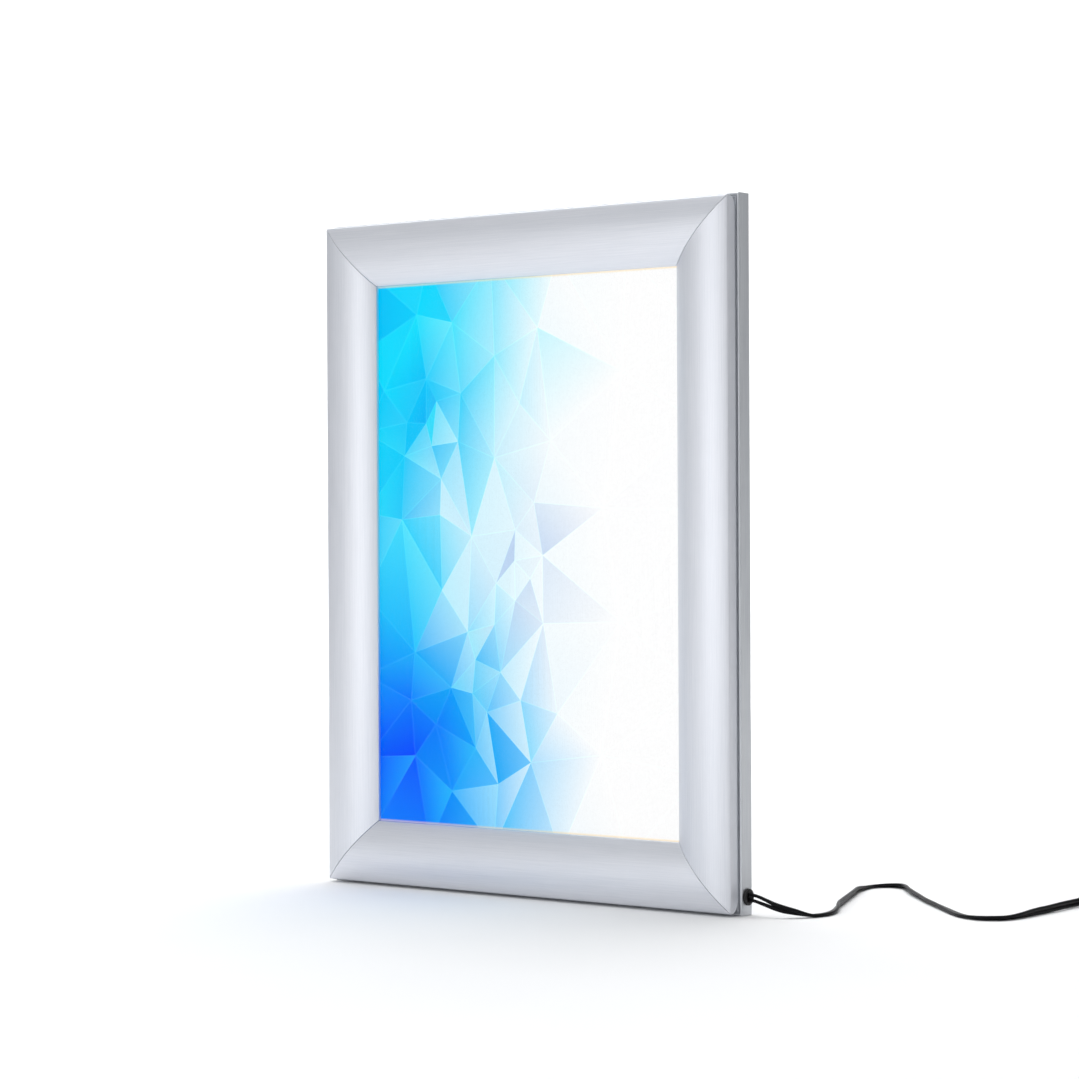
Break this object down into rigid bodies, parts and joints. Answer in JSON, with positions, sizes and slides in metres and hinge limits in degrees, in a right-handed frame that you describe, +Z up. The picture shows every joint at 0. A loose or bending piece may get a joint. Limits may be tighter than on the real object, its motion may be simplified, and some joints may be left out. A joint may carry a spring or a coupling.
{
  "type": "snap-frame lightbox",
  "caption": "Portrait edge-lit poster lightbox: a slim aluminium housing with domed, mitred front rails that hinge open on each side, and a flat low-voltage lead.",
  "frame": {"origin": "middle of the underside of the housing, halfway between the front rails' crest and the back", "axes": "+Z up the sign, -Y the way the picture faces, +X to the viewer's right, on the side where the lead comes out"},
  "size_m": [0.456, 0.1968, 0.344],
  "materials": {
    "front_rail_silver": "satin anodised",
    "housing_silver": "satin anodised, drawn lengthwise",
    "spring_steel": "blued",
    "zinc_steel": "zinc plated",
    "black_oxide": "black oxide",
    "panel_paint": "matt powder coat",
    "white_film": "matt",
    "acrylic": "clear, dotted on its back",
    "opal_plastic": "satin",
    "poster_print": "backlit film",
    "clear_cover": "matt antiglare",
    "board_white": "solder mask",
    "led_phosphor": "satin",
    "black_rubber": "matt",
    "lead_jacket": "satin",
    "nylon": "satin",
    "board_green": "solder mask",
    "terminal_green": "gloss",
    "wire_red": "gloss",
    "tie_black": "woven hook tape",
    "plug_black": "satin",
    "nickel": "bright"
  },
  "bodies": {
    "root": {"base_rail_top": "housing_silver", "springs_top": "spring_steel", "base_rail_right": "housing_silver", "springs_right": "spring_steel", "base_rail_bottom": "housing_silver", "springs_bottom": "spring_steel", "base_rail_left": "housing_silver", "springs_left": "spring_steel", "corner_keys": "zinc_steel", "key_screws": "black_oxide", "back_panel": "panel_paint", "panel_screws": "zinc_steel", "reflector_sheet": "white_film", "light_guide": "acrylic", "diffuser_sheet": "opal_plastic", "poster": "poster_print", "cover_sheet": "clear_cover", "led_bar_right": "board_white", "led_bar_left": "board_white", "leds_right": "led_phosphor", "leds_left": "led_phosphor", "lead_grommet": "black_rubber", "lead_neck": "lead_jacket", "lead_inner": "lead_jacket", "cable_clamp": "nylon", "clamp_screw": "zinc_steel", "terminal_board": "board_green", "terminal_block": "terminal_green", "feed_wire": "wire_red", "link_wire": "wire_red", "lead_run": "lead_jacket", "lead_coil": "lead_jacket", "lead_tail": "lead_jacket", "lead_tie": "tie_black", "plug_relief": "plug_black", "plug_body": "plug_black", "plug_barrel": "nickel"},
    "front_top": {"snap_rail_top": "front_rail_silver"},
    "front_right": {"snap_rail_right": "front_rail_silver"},
    "front_bottom": {"snap_rail_bottom": "front_rail_silver"},
    "front_left": {"snap_rail_left": "front_rail_silver"}
  },
  "joints": [
    {"name": "top_rail_hinge", "type": "hinge", "parent": "root", "child": "front_top", "pos_m": [0, -0.00081, 0.3413], "axis": [-1, 0, 0], "range_deg": [0, 85]},
    {"name": "right_rail_hinge", "type": "hinge", "parent": "root", "child": "front_right", "pos_m": [0.1258, -0.00081, 0.172], "axis": [0, 0, 1], "range_deg": [0, 85]},
    {"name": "bottom_rail_hinge", "type": "hinge", "parent": "root", "child": "front_bottom", "pos_m": [0, -0.00081, 0.0027], "axis": [1, 0, 0], "range_deg": [0, 85]},
    {"name": "left_rail_hinge", "type": "hinge", "parent": "root", "child": "front_left", "pos_m": [-0.1258, -0.00081, 0.172], "axis": [0, 0, -1], "range_deg": [0, 85]}
  ]
}
